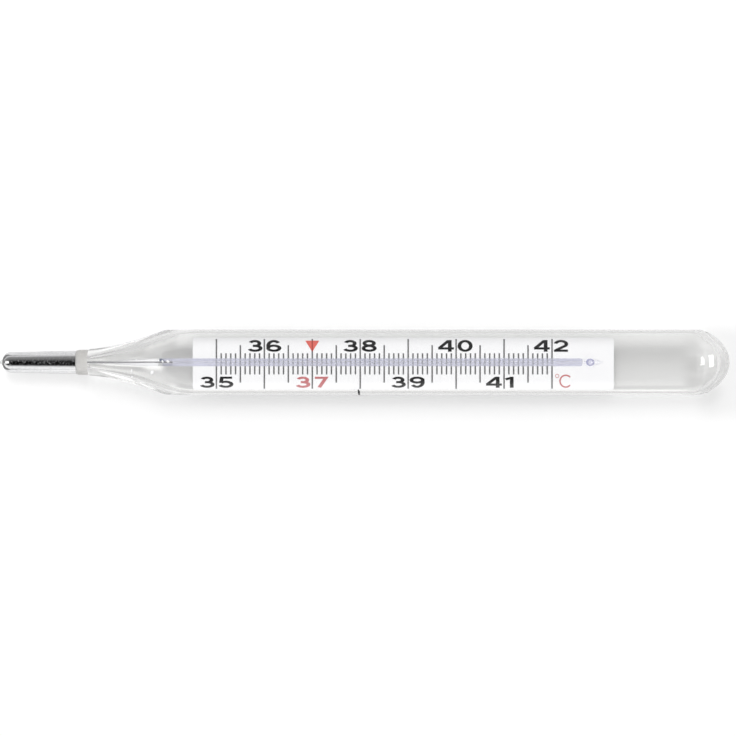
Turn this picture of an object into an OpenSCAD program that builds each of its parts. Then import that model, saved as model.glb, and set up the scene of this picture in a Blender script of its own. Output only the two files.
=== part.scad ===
// Enclosed-scale clinical thermometer of the flat pattern, in millimetres.
// It lies along X on its broad side, with the bulb towards -X and the scale facing +Z.

/* [Bulb] */
// Length of the drawn nib that seals the bulb
nib_length = 0.4; // [0.2:0.1:1]
// Diameter of the sealing nib
nib_diameter = 0.6; // [0.4:0.1:1]
// Length of the bulb from its rounded end to the collar
bulb_length = 12.7; // [9:0.1:18]
// Diameter of the bulb where its rounded end begins
bulb_tip_diameter = 3.5; // [3:0.1:4]
// Diameter of the bulb at the collar
bulb_root_diameter = 4; // [3.4:0.1:4.2]
// Length of the rounded end of the bulb
bulb_end_length = 1.3; // [0.8:0.1:2]
// Thickness of the bulb's glass
bulb_wall = 0.3; // [0.2:0.05:0.5]

/* [Collar] */
// Length of the collar in which bulb, capillary and sheath are fused
collar_length = 2.1; // [1.5:0.1:4]
// Outer diameter of the collar
collar_diameter = 4.3; // [4.2:0.1:5]
// Chamfer on both rims of the collar
collar_chamfer = 0.15; // [0.05:0.05:0.3]
// Height of the convex plug that stands in the mouth of the bulb
plug_height = 0.4; // [0.2:0.1:0.8]

/* [Constriction] */
// Diameter of the glass pin that stands in the foot of the bore
pin_diameter = 0.14; // [0.1:0.02:0.18]
// Length of the pin inside the bore
pin_reach = 1.5; // [0.5:0.1:3]
// Length of the pin's tapered point
pin_point = 0.6; // [0.2:0.1:1.2]

/* [Sheath] */
// Length of the neck from the collar to the straight body
neck_length = 13.9; // [11:0.1:18]
// Outer diameter of the neck at the collar
neck_diameter = 4.5; // [4:0.1:5.5]
// Slope of the neck at the collar, in degrees
neck_slope = 3.5; // [1:0.5:6]
// Slope of the neck where it meets the shoulder, in degrees
shoulder_slope = 20.6; // [17:0.1:26]
// Radius of the shoulder between neck and body
shoulder_radius = 2; // [0.5:0.5:6]
// Slope of the hollow in the neck at the collar, in degrees
hollow_slope = 2; // [0.5:0.5:4]
// Slope of the hollow where it opens into the body, in degrees
hollow_mouth_slope = 60; // [45:1:65]
// Radius at the mouth of the hollow
hollow_mouth_radius = 1; // [0.5:0.1:2]
// Width of the oval body
body_width = 11.2; // [10:0.1:13]
// Thickness of the oval body
body_thickness = 6.6; // [5.8:0.1:8]
// Fullness of the body's section, where 2 is an ellipse and more is flatter above and below
section_fullness = 2.4; // [2:0.1:3]
// Thickness of the body's glass
sheath_wall = 0.7; // [0.5:0.05:1]
// Length of the domed end
dome_length = 5.57; // [4:0.1:8]
// Fullness of the dome, where 1 is a half ellipse and more is slimmer
dome_fullness = 1.33; // [1:0.01:1.6]
// Thickness of the glass at the top of the dome
end_wall = 1.9; // [1:0.1:3]

/* [Scale] */
// First degree on the scale
scale_first = 35; // [34:1:36]
// Last degree on the scale
scale_last = 42; // [40:1:43]
// Length of one degree along the scale
degree_length = 8.22; // [6:0.01:10]
// Distance from the straight body's start to the plate
plate_inset = 3.92; // [2:0.1:8]
// Length of plate before the first degree
plate_lead = 4.05; // [2:0.05:8]
// Length of plate after the last degree
plate_tail = 10.6; // [6:0.1:14]
// Length of body between the plate and the dome
plate_end_room = 14.22; // [4:0.1:20]
// Thickness of the plate
plate_thickness = 0.25; // [0.15:0.05:0.5]
// Cut on each corner of the plate
plate_corner = 0.3; // [0.1:0.1:1]
// Height of the fired colour above the plate
ink_height = 0.03; // [0.02:0.01:0.05]
// Width of each line
line_width = 0.2; // [0.1:0.02:0.3]
// Bare edge left at both ends of a degree line
line_margin = 0.25; // [0.1:0.05:1]
// Length of a half degree line
half_line = 6.4; // [5:0.1:7]
// Length of a tenth degree line
tenth_line = 3.66; // [2:0.1:4.5]

/* [Capillary] */
// Diameter of the thin stem in collar and neck
stem_diameter = 0.6; // [0.5:0.05:0.8]
// Length over which the stem widens to the capillary
stem_widening = 6.5; // [4:0.1:8]
// Width of the capillary
capillary_width = 1.4; // [1.2:0.05:2]
// Distance from the bore to the flat back
capillary_back = 0.5; // [0.46:0.02:0.56]
// Diameter of the bore
bore_diameter = 0.24; // [0.2:0.02:0.3]
// Distance from the last degree to the middle of the expansion chamber
chamber_rise = 6.49; // [3:0.1:8]
// Diameter of the expansion chamber
chamber_diameter = 0.8; // [0.5:0.05:0.84]
// Length from the middle of the chamber to where the tail begins to narrow
chamber_cover = 0.7; // [0.5:0.1:1.5]
// Length of the drawn tail
tail_length = 1.5; // [0.8:0.1:3]
// Diameter at the end of the tail
tail_diameter = 0.36; // [0.2:0.02:0.6]
// Length of the flat back that runs into the neck
back_lead = 1.2; // [0.4:0.1:2]
// Width of the enamel strip
enamel_width = 0.9; // [0.5:0.05:0.9]
// Thickness of the enamel strip
enamel_thickness = 0.1; // [0.05:0.01:0.14]
// Length of clear glass between the enamel and the middle of the chamber
enamel_stop = 1.5; // [0.8:0.1:3]

/* [Mercury] */
// Reading at which the shaken-down thread rests
rest_reading = 34.1; // [33.6:0.1:35]
// Length of the rounded upper end of the thread
meniscus_length = 0.6; // [0.3:0.1:1]
// Clear length between the pin's point and the thread
thread_gap = 0.05; // [0.02:0.01:0.2]

/* [Fits] */
// Gap left between pieces that are fused or filled
fuse_gap = 0.02; // [0.01:0.01:0.04]
// Gap between the capillary's stem and the hollow of the neck
stem_gap = 0.45; // [0.2:0.05:0.6]
// Gap between the thread and the bore
thread_fit = 0.02; // [0.01:0.01:0.03]
// Gap between the plate and the side wall that it leans on
plate_gap = 0.04; // [0.02:0.01:0.1]
// Side play of the plate in the body
plate_play = 0.6; // [0.2:0.05:1]

/* [Hidden] */

$fn = 64;
// Fullness of a circle and an ellipse
round_fullness = 2;
// Sides of the oval section, even but not a multiple of four, so that a face lies at the bottom
section_sides = 54;
neck_steps = 9;
shoulder_steps = 3;
dome_steps = 9;
arc_steps = 10;
ease_steps = 6;
tenths = 10;
// Spare length of a cut past the face that it goes through
cut = 1;

// Places along the axis, from the rounded end of the bulb
collar_x = bulb_length;
neck_x = collar_x + collar_length;
body_x = neck_x + neck_length;
plate_x = body_x + plate_inset;
first_x = plate_x + plate_lead;
last_x = first_x + (scale_last - scale_first) * degree_length;
plate_length = last_x + plate_tail - plate_x;
dome_x = plate_x + plate_length + plate_end_room;
end_x = dome_x + dome_length;
total_length = nib_length + end_x;

// Sections of the sheath
neck_r = neck_diameter / 2;
half_width = body_width / 2;
half_thickness = body_thickness / 2;
stem_r = stem_diameter / 2;
hollow_r = stem_r + stem_gap;
hollow_half_width = half_width - sheath_wall;
hollow_half_thickness = half_thickness - sheath_wall;

// Bulb and plug
tip_r = bulb_tip_diameter / 2;
root_r = bulb_root_diameter / 2;
root_hollow_r = root_r - bulb_wall;
plug_r = root_hollow_r - fuse_gap;
foot_x = collar_x - plug_height;
pin_r = pin_diameter / 2;
pin_end_x = foot_x + pin_reach;

// Capillary and thread
bore_r = bore_diameter / 2;
capillary_r = capillary_width / 2;
back_x = body_x - back_lead;
widen_x = back_x - stem_widening;
chamber_x = last_x + chamber_rise;
tail_x = chamber_x + chamber_cover;
enamel_length = chamber_x - enamel_stop - back_x;
thread_r = bore_r - thread_fit;
thread_x = pin_end_x + thread_gap;
thread_top_x = first_x - (scale_first - rest_reading) * degree_length;

// The plate hangs under the capillary and leans on the side wall towards -Y
plate_top = -capillary_back - ink_height;
plate_bottom = plate_top - plate_thickness;
plate_reach = hollow_half_width * oval_chord(-plate_bottom / hollow_half_thickness);
plate_width = 2 * plate_reach - plate_play;
plate_y = plate_width / 2 + plate_gap - plate_reach;

function mix(a, b, t) = a + (b - a) * t;
function reversed(list) = [for (i = [len(list) - 1:-1:0]) list[i]];
function spread(value, power) = sign(value) * pow(abs(value), power);
// Half chord of the body's section, of half width 1, at a share of its half thickness
function oval_chord(share) = pow(1 - pow(share, section_fullness), 1 / section_fullness);
function bend(a, b, c, t) = mix(mix(a, b, t), mix(b, c, t), t);

// Half widths [x, r] of a neck that leaves r0 at one slope, rises to a shoulder and ends level at r1
function flare(r0, r1, slope, end_slope, radius) =
  let (
    foot = [0, r0],
    top = [neck_length - radius * sin(end_slope), r1 - radius * (1 - cos(end_slope))],
    meet = (top.y - r0 - tan(end_slope) * top.x) / (tan(slope) - tan(end_slope)),
    knee = [meet, r0 + tan(slope) * meet]
  )
  concat(
    [for (i = [0:neck_steps]) bend(foot, knee, top, i / neck_steps)],
    [for (i = [1:shoulder_steps])
      let (a = end_slope * (1 - i / shoulder_steps))
      [neck_length - radius * sin(a), r1 - radius * (1 - cos(a))]]
  );

// Sections [x, half width, half thickness, fullness] that pass from a round neck to the oval body
function neck_sections(profile, r0, r1, thickness) =
  [for (p = profile)
    let (t = (p.y - r0) / (r1 - r0))
    [neck_x + p.x, p.y, mix(r0, thickness, t), mix(round_fullness, section_fullness, t)]];

// Sections of a dome, from the oval body to its pole
function dome_sections(width, thickness, length) =
  [for (i = [0:dome_steps])
    let (a = 90 * i / dome_steps)
    [dome_x + length * pow(sin(a), dome_fullness), width * cos(a), thickness * cos(a), section_fullness]];

// Corner of an oval section at an angle, raised so that the flat faces touch the full thickness
function oval_corner(section, angle) =
  let (power = 2 / section[3])
  [
    section[0],
    section[1] * spread(cos(angle), power),
    section[2] * spread(sin(angle) / cos(180 / section_sides), power)
  ];

// Quarter of an ellipse as [r, x], from the axis to the full radius
function round_end(radius, x, length) =
  [for (i = [0:arc_steps])
    let (a = 90 * i / arc_steps)
    [radius * sin(a), x + length * (1 - cos(a))]];

// Crown of the plug in the bulb's mouth as [r, x], from the rim to an inner radius
function plug_crown(radius, inner, x) =
  [for (i = [0:arc_steps])
    let (r = mix(radius, inner, i / arc_steps))
    [r, x - plug_height * sqrt(1 - pow(r / radius, 2))]];

// Half widths [r, x] that pass smoothly from one to another over a length
function eased_line(r0, r1, x, length) =
  [for (i = [0:ease_steps])
    let (t = i / ease_steps)
    [mix(r0, r1, pow(sin(90 * t), 2)), x + length * t]];

module in_place() {
  translate([nib_length - total_length / 2, 0, half_thickness])
    children();
}

// Turns a shape drawn about Z, or drawn flat and raised along Z, so that it runs along X
module lengthwise(x = 0) {
  translate([x, 0, 0])
    rotate([90, 0, 90])
      children();
}

module rod(x0, x1, radius) {
  lengthwise(x0)
    cylinder(h = x1 - x0, r = radius);
}

module block(low, high) {
  translate(low)
    cube(high - low);
}

// Closed solid through oval sections, whose first and last sections are points on the axis
module loft(sections) {
  last = len(sections) - 1;
  points = concat(
    [[sections[0][0], 0, 0]],
    [for (k = [1:last - 1], i = [0:section_sides - 1]) oval_corner(sections[k], 360 * i / section_sides)],
    [[sections[last][0], 0, 0]]
  );
  end_point = len(points) - 1;
  corner = function(k, i) 1 + (k - 1) * section_sides + i % section_sides;
  faces = concat(
    [for (i = [0:section_sides - 1]) [0, corner(1, i + 1), corner(1, i)]],
    [for (k = [1:last - 2], i = [0:section_sides - 1])
      each [
        [corner(k, i), corner(k, i + 1), corner(k + 1, i + 1)],
        [corner(k, i), corner(k + 1, i + 1), corner(k + 1, i)]
      ]],
    [for (i = [0:section_sides - 1]) [corner(last - 1, i), corner(last - 1, i + 1), end_point]]
  );
  polyhedron(points, faces);
}

// Glass envelope: the outer wall from dome to neck, then the hollow from neck to dome
module sheath() {
  outer = flare(neck_r, half_width, neck_slope, shoulder_slope, shoulder_radius);
  inner = flare(hollow_r, hollow_half_width, hollow_slope, hollow_mouth_slope, hollow_mouth_radius);
  color("aliceblue", 0.35)
    in_place()
      loft(concat(
        reversed(dome_sections(half_width, half_thickness, dome_length)),
        reversed(neck_sections(outer, neck_r, half_width, half_thickness)),
        neck_sections(inner, hollow_r, hollow_half_width, hollow_half_thickness),
        dome_sections(hollow_half_width, hollow_half_thickness, dome_length - end_wall)
      ));
}

// Frosted ring with a convex plug towards the bulb and a hole for the capillary
module weld_collar() {
  collar_r = collar_diameter / 2;
  hole_r = stem_r + fuse_gap;
  rim = [
    [hole_r, neck_x],
    [collar_r - collar_chamfer, neck_x],
    [collar_r, neck_x - collar_chamfer],
    [collar_r, collar_x + collar_chamfer],
    [collar_r - collar_chamfer, collar_x]
  ];
  color("gainsboro")
    in_place()
      lengthwise()
        rotate_extrude()
          polygon(concat(rim, plug_crown(plug_r, hole_r, collar_x)));
}

// Thin tapered reservoir, closed at the tip by its nib and open at the collar
module bulb_shell() {
  nib_r = nib_diameter / 2;
  outside = round_end(tip_r, 0, bulb_end_length);
  inside = round_end(tip_r - bulb_wall, bulb_wall, bulb_end_length - bulb_wall);
  color("aliceblue", 0.5)
    in_place()
      lengthwise()
        rotate_extrude()
          polygon(concat(
            round_end(nib_r, -nib_length, nib_length),
            [for (p = outside) if (p.x > nib_r) p],
            [[root_r, collar_x], [root_hollow_r, collar_x]],
            reversed(inside)
          ));
}

// Mercury that fills the bulb round the pin
module bulb_mercury() {
  fill_tip_r = tip_r - bulb_wall - fuse_gap;
  fill_x = bulb_wall + fuse_gap;
  hole_r = pin_r + fuse_gap;
  rounded = round_end(fill_tip_r, fill_x, bulb_end_length - fill_x);
  color("silver")
    in_place()
      lengthwise()
        rotate_extrude()
          polygon(concat(
            [[hole_r, fill_x]],
            [for (p = rounded) if (p.x > hole_r) p],
            plug_crown(plug_r, hole_r, collar_x - fuse_gap)
          ));
}

// Glass pin from the bottom of the bulb into the foot of the bore
module constriction_pin() {
  color("lightblue")
    in_place()
      lengthwise()
        rotate_extrude()
          polygon([
            [0, bulb_wall + fuse_gap],
            [pin_r, bulb_wall + fuse_gap],
            [pin_r, pin_end_x - pin_point],
            [0, pin_end_x]
          ]);
}

// Thin round stem that widens to a lens-fronted length with a flat back, bored up to the expansion chamber
module capillary() {
  tail_r = tail_diameter / 2;
  tail_end_x = tail_x + tail_length;
  widening = eased_line(stem_r, capillary_r, widen_x, stem_widening);
  narrowing = eased_line(capillary_r, tail_r, tail_x, tail_length);
  color("lavender", 0.6)
    in_place()
      difference() {
        lengthwise()
          rotate_extrude()
            polygon(concat([[0, foot_x], [stem_r, foot_x]], widening, narrowing, [[0, tail_end_x]]));
        block([back_x, -capillary_r - cut, -capillary_r - cut], [tail_end_x + cut, capillary_r + cut, -capillary_back]);
        enamel_seat(fuse_gap);
        rod(foot_x - cut, chamber_x, bore_r);
        translate([chamber_x, 0, 0])
          sphere(d = chamber_diameter);
      }
}

// Space of the enamel strip in the flat back, grown by a gap on every side but the back
module enamel_seat(gap) {
  side = enamel_width / 2 - fuse_gap + gap;
  block(
    [back_x - gap, -side, -capillary_back - (gap > 0 ? cut : 0)],
    [back_x + enamel_length + gap, side, enamel_thickness - capillary_back + gap]
  );
}

// Lilac strip fused into the flat back of the capillary
module enamel_strip() {
  color("thistle")
    in_place()
      enamel_seat(0);
}

// Mercury column above the constriction
module mercury_thread() {
  color("silver")
    in_place()
      rod(thread_x, thread_top_x - meniscus_length, thread_r);
}

// Rounded upper end of the column
module mercury_meniscus() {
  base_x = thread_top_x - meniscus_length;
  crown_x = thread_top_x - thread_r;
  color("silver")
    in_place()
      lengthwise()
        rotate_extrude()
          polygon(concat(
            [[0, base_x], [thread_r, base_x]],
            [for (i = [0:arc_steps])
              let (a = 90 * i / arc_steps)
              [thread_r * cos(a), crown_x + thread_r * sin(a)]]
          ));
}

// White plate with cut corners
module scale_plate() {
  side = plate_width / 2;
  near_x = plate_x;
  far_x = plate_x + plate_length;
  color("white")
    in_place()
      translate([0, plate_y, plate_bottom])
        linear_extrude(plate_thickness)
          polygon([
            [near_x + plate_corner, -side], [far_x - plate_corner, -side],
            [far_x, plate_corner - side], [far_x, side - plate_corner],
            [far_x - plate_corner, side], [near_x + plate_corner, side],
            [near_x, side - plate_corner], [near_x, plate_corner - side]
          ]);
}

// Fired lines at every tenth of a degree, longer at each half and at each whole degree
module graduation_lines() {
  degree_line = plate_width - 2 * line_margin;
  count = (scale_last - scale_first) * tenths;
  color("black")
    in_place()
      for (i = [0:count]) {
        span = i % tenths == 0 ? degree_line : i % (tenths / 2) == 0 ? half_line : tenth_line;
        x = first_x + i * degree_length / tenths;
        block(
          [x - line_width / 2, plate_y - span / 2, plate_top],
          [x + line_width / 2, plate_y + span / 2, plate_top + ink_height]
        );
      }
}

sheath();
weld_collar();
bulb_shell();
bulb_mercury();
constriction_pin();
capillary();
enamel_strip();
mercury_thread();
mercury_meniscus();
scale_plate();
graduation_lines();
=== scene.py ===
from math import asin, copysign, cos, exp, hypot, pi, radians, sin, sqrt, tan, tau

import bmesh
import bpy
from mathutils import Matrix, Vector, noise
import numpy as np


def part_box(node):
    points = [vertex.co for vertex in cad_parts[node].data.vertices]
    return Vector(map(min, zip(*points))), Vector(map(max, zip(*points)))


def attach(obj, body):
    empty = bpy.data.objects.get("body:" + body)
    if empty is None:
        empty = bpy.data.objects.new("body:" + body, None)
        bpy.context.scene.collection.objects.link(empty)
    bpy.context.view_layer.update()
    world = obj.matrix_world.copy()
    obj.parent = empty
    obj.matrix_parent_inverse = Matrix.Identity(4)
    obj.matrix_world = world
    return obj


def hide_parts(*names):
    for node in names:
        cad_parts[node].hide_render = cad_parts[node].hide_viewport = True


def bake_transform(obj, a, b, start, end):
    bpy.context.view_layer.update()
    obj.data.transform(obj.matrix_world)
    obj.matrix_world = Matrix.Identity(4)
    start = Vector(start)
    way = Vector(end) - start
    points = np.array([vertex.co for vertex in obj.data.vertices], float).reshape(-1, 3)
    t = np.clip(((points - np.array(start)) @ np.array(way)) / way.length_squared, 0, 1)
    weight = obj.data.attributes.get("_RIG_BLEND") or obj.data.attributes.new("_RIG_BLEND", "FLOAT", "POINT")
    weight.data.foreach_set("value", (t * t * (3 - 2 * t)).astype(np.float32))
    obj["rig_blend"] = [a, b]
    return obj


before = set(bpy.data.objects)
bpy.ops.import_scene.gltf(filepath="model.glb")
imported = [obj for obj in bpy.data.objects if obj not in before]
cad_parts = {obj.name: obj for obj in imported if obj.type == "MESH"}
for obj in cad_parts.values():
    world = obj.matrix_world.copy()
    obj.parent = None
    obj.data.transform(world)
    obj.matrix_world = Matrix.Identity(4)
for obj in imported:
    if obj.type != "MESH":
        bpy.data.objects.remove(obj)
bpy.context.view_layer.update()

mm = 0.001
print("frame loaded:", len(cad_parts), "nodes")

scene = bpy.context.scene
scene.view_settings.view_transform = "Standard"
scene.cycles.max_bounces = 24
scene.cycles.glossy_bounces = 20
scene.cycles.transmission_bounces = 24
scene.cycles.transparent_max_bounces = 16

# places that the frame gives
sheathLow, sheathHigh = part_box("sheath")
collarLow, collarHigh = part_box("weld_collar")
bulbLow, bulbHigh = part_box("bulb_shell")
capLow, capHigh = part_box("capillary")
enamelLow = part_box("enamel_strip")[0]
linesLow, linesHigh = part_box("graduation_lines")
threadLow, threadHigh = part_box("mercury_thread")
meniscusLow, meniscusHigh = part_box("mercury_meniscus")
axisZ = (collarLow.z + collarHigh.z) / 2
plateMidY = (linesLow.y + linesHigh.y) / 2
halfWidth = (sheathHigh.y - sheathLow.y) / 2
halfDepth = (sheathHigh.z - sheathLow.z) / 2


# a node tree in the making: an input takes a plain value, a socket, or a node for its first output

class Tree:
    def __init__(self, data):
        self.data = data

    def feed(self, node, inputs):
        for key, value in inputs.items():
            if isinstance(value, bpy.types.Node):
                value = value.outputs[0]
            if isinstance(value, bpy.types.NodeSocket):
                self.data.links.new(value, node.inputs[key])
            else:
                node.inputs[key].default_value = value

    def node(self, kind, inputs=None, **values):
        node = self.data.nodes.new(kind)
        place = len(self.data.nodes)
        node.location = (place % 8 * 190, place // 8 * -260)  # rows of eight
        for key, value in values.items():
            setattr(node, key, value)
        self.feed(node, inputs or {})
        return node

    def shade(self, kind, inputs=None, **values):
        return self.node("ShaderNode" + kind, inputs, **values)

    def shape(self, kind, inputs=None, **values):
        return self.node("GeometryNode" + kind, inputs, **values)

    def finish(self, inputs):
        self.node("NodeGroupOutput", inputs)
        return self.data

    def surface(self, shader):
        self.feed(self.data.nodes["Material Output"], {"Surface": shader})

    def math(self, operation, *terms):
        return self.shade("Math", dict(enumerate(terms)), operation=operation).outputs[0]

    def mix(self, kind, factor, a, b, blend="MIX"):
        inputs = {"Factor": factor, "A": a, "B": b}
        return self.shade("Mix", inputs, data_type=kind, blend_type=blend).outputs["Result"]

    def span(self, value, fromLow, fromHigh, toLow=0.0, toHigh=1.0, kind="LINEAR"):
        reach = {"From Min": fromLow, "From Max": fromHigh, "To Min": toLow, "To Max": toHigh}
        return self.shade("MapRange", {"Value": value, **reach}, interpolation_type=kind).outputs[0]

    def noise(self, vector, scale, detail, roughness=0.5):
        inputs = {"Vector": vector, "Scale": scale, "Detail": detail, "Roughness": roughness}
        return self.shade("TexNoise", inputs).outputs[0]

    def bump(self, height, distance, strength=1.0):
        inputs = {"Strength": strength, "Distance": distance, "Height": height}
        return self.shade("Bump", inputs).outputs[0]

    def coords(self):
        return self.shade("TexCoord").outputs["Object"]

    def axes(self, vector):
        return self.shade("SeparateXYZ", {0: vector}).outputs

    def path(self):
        return self.shade("LightPath").outputs


# geometry node trees

def newTree(name, sockets):
    data = bpy.data.node_groups.new(name, "GeometryNodeTree")
    for side in ("INPUT", "OUTPUT"):
        data.interface.new_socket("Geometry", in_out=side, socket_type="NodeSocketGeometry")
    for label, kind in sockets.items():
        data.interface.new_socket(label, in_out="INPUT", socket_type="NodeSocket" + kind)
    tree = Tree(data)
    return tree, tree.node("NodeGroupInput").outputs


# every tree ends in a plain mesh of one material
def endTree(tree, geometry, material):
    real = tree.shape("RealizeInstances", {0: geometry})
    paint = tree.shape("SetMaterial", {"Geometry": real, "Material": material})
    return tree.finish({0: paint})


def runTree(name, base, tree, values):
    shell = bpy.data.objects.new(name + "Base", base)
    scene.collection.objects.link(shell)
    modifier = shell.modifiers.new(tree.name, "NODES")
    modifier.node_group = tree
    for item in tree.interface.items_tree:
        if item.in_out == "INPUT" and item.name in values:
            modifier[item.identifier] = values[item.name]
    graph = bpy.context.evaluated_depsgraph_get()
    mesh = bpy.data.meshes.new_from_object(shell.evaluated_get(graph))
    mesh.name = name
    bpy.data.objects.remove(shell)
    return mesh


# one tree lofts every glass and mercury piece through oval sections along X
weldDistance = 1e-7
trueOval = 2.0  # fullness of a plain ellipse; more is squarer
noBack = -1.0  # a back level that no section reaches


def ovalLoftTree():
    tree, given = newTree("ovalLoft", {"Sides": "Int", "Axis Height": "Float", "Material": "Material"})
    rail = tree.shape("MeshToCurve", {0: given["Geometry"]})
    ring = tree.shape("CurvePrimitiveCircle", {"Resolution": given["Sides"]})
    turn = tree.shape("SplineParameter")
    keep = tree.shape("CaptureAttribute")
    keep.capture_items.new("FLOAT", "Turn")
    tree.feed(keep, {"Geometry": ring, "Turn": turn})
    skin = tree.shape("CurveToMesh", {"Curve": rail, "Profile Curve": keep})

    def station(label):
        node = tree.shape("InputNamedAttribute", {"Name": label}, data_type="FLOAT")
        return node.outputs["Attribute"]

    angle = tree.math("MULTIPLY", keep.outputs["Turn"], tau)
    power = tree.math("DIVIDE", trueOval, station("fullness"))

    def spread(operation, reach):
        wave = tree.math(operation, angle)
        swell = tree.math("POWER", tree.math("ABSOLUTE", wave), power)
        signed = tree.math("MULTIPLY", swell, tree.math("SIGN", wave))
        return tree.math("MULTIPLY", signed, reach)

    across = spread("COSINE", station("halfWidth"))
    upward = spread("SINE", station("halfDepth"))
    level = tree.math("MAXIMUM", upward, station("backLevel"))
    height = tree.math("ADD", level, given["Axis Height"])
    where = tree.shade("CombineXYZ", {0: station("place"), 1: across, 2: height})
    move = tree.shape("SetPosition", {"Geometry": skin, "Position": where})
    weld = tree.shape("MergeByDistance", {"Geometry": move, "Distance": weldDistance})
    return endTree(tree, weld, given["Material"])


ovalLoft = ovalLoftTree()


# stations are rows of place, half width, half depth, fullness and back level, in metres
def loftMesh(name, stations, sides, material, cavity=False):
    rail = bpy.data.meshes.new(name + "Rail")
    count = len(stations)
    rail.from_pydata([(i, 0, 0) for i in range(count)], [(i, i + 1) for i in range(count - 1)], [])
    for column, label in enumerate(("place", "halfWidth", "halfDepth", "fullness", "backLevel")):
        attribute = rail.attributes.new(label, "FLOAT", "POINT")
        attribute.data.foreach_set("value", [row[column] for row in stations])
    mesh = runTree(name, rail, ovalLoft, {"Sides": sides, "Axis Height": axisZ, "Material": material})
    for label in [a.name for a in mesh.attributes if not a.is_internal and not a.is_required]:
        mesh.attributes.remove(mesh.attributes[label])
    bm = bmesh.new()
    bm.from_mesh(mesh)
    inside = bm.calc_volume(signed=True) < 0
    if inside != cavity:
        bmesh.ops.reverse_faces(bm, faces=bm.faces)
    bm.to_mesh(mesh)
    bm.free()
    return mesh


# rows of place and radius become round stations
def roundStations(rows, start=0.0, unit=1.0):
    return [(start + x * unit, r * unit, r * unit, trueOval, noBack) for x, r in rows]


def mix(a, b, t):
    return a + (b - a) * t


def steps(count):
    return [i / count for i in range(count + 1)]


# meshes and pieces

def smooth(mesh, crease=40):
    mesh.shade_smooth()
    mesh.set_sharp_from_angle(angle=radians(crease))


# quads from each ring of points to the next
def bridge(bm, rings, closed=False):
    faces = []
    for here, there in zip(rings, rings[1:] + rings[:1] if closed else rings[1:]):
        for i in range(len(here)):
            k = (i + 1) % len(here)
            faces.append(bm.faces.new((here[i], here[k], there[k], there[i])))
    return faces


def ringAt(bm, points, z):
    return [bm.verts.new((*p, z)) for p in points]


def meshFrom(name, bm, *materials, outward=True):
    if outward:
        bmesh.ops.recalc_face_normals(bm, faces=bm.faces)
    mesh = bpy.data.meshes.new(name)
    bm.to_mesh(mesh)
    bm.free()
    for material in materials:
        mesh.materials.append(material)
    return mesh


def addObject(name, mesh):
    made = bpy.data.objects.new(name, mesh)
    scene.collection.objects.link(made)
    return made


def addPiece(name, mesh, node=None, body="glass"):
    piece = addObject(name, mesh)
    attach(piece, body)
    if node:
        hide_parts(node)
    return piece


def flatPiece(name, bm, slot, *materials):
    addPiece(name, meshFrom(name, bm, *materials))


def loftPiece(name, stations, sides, material, node, body="glass", crease=40):
    mesh = loftMesh(name, stations, sides, material)
    smooth(mesh, crease)
    return addPiece(name, mesh, node, body)


# shared shader groups

def newGroup(name, inputs, outputs):
    data = bpy.data.node_groups.new(name, "ShaderNodeTree")
    for label, value in inputs.items():
        socket = data.interface.new_socket(label, in_out="INPUT", socket_type="NodeSocketFloat")
        socket.default_value = value
    for label in outputs:
        data.interface.new_socket(label, in_out="OUTPUT", socket_type="NodeSocketFloat")
    tree = Tree(data)
    return tree, tree.node("NodeGroupInput").outputs


# long waves left by drawing the glass, and a faint haze of handling
def drawnGlassGroup():
    tree, given = newGroup(
        "drawnGlass", {"Wave Scale": 300.0, "Stretch": 0.15, "Haze": 0.03, "Haze Scale": 220.0},
        ("Height", "Roughness"))
    coords = tree.coords()
    squeeze = tree.shade("CombineXYZ", {0: given["Stretch"], 1: 1.0, 2: 1.0})
    drawn = tree.shade("Mapping", {"Vector": coords, "Scale": squeeze})
    wave = tree.noise(drawn, given["Wave Scale"], 2.0, 0.4)
    haze = tree.noise(coords, given["Haze Scale"], 5.0, 0.6)
    amount = tree.math("MULTIPLY", tree.span(haze, 0.5, 0.75), given["Haze"])
    return tree.finish({"Height": wave, "Roughness": amount})


# uneven density of fired or printed colour
def printGrainGroup():
    tree, given = newGroup(
        "printGrain", {"Grain Scale": 9000.0, "Low": 0.85, "High": 1.15}, ("Factor", "Height"))
    grain = tree.noise(tree.coords(), given["Grain Scale"], 4.0, 0.65)
    density = tree.span(grain, 0.3, 0.7, given["Low"], given["High"])
    return tree.finish({"Factor": density, "Height": grain})


drawnGlass = drawnGlassGroup()
printGrain = printGrainGroup()


# materials

def newMaterial(name):
    material = bpy.data.materials.new(name)
    material.use_nodes = True
    tree = Tree(material.node_tree)
    return material, tree, tree.data.nodes["Principled BSDF"]


def addGrain(tree, scale, low, high):
    inputs = {"Grain Scale": scale, "Low": low, "High": high}
    return tree.shade("Group", inputs, node_tree=printGrain).outputs


# bounced light passes straight through the glass; its rounded sides turn lamp light away
def letLightThrough(tree, shader, look):
    faceOn, edgeOn = look["faceOn"], look["edgeOn"]
    path = tree.path()
    normal = tree.axes(tree.shade("NewGeometry").outputs["Normal"])
    place = tree.axes(tree.coords())
    slant = tree.math("MULTIPLY", tree.math("ABSOLUTE", normal["Y"]), place["Y"])
    passed = tree.math("MINIMUM", *[
        tree.span(slant, low * mm, high * mm, faceOn, edgeOn, "SMOOTHSTEP") for low, high in look["sides"]])
    source = shader
    for ray, tint in (("Is Shadow Ray", passed), ("Is Diffuse Ray", (faceOn, faceOn, faceOn, 1))):
        clear = tree.shade("BsdfTransparent", {0: tint})
        source = tree.shade("MixShader", {0: path[ray], 1: source, 2: clear})
    tree.surface(source)


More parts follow.
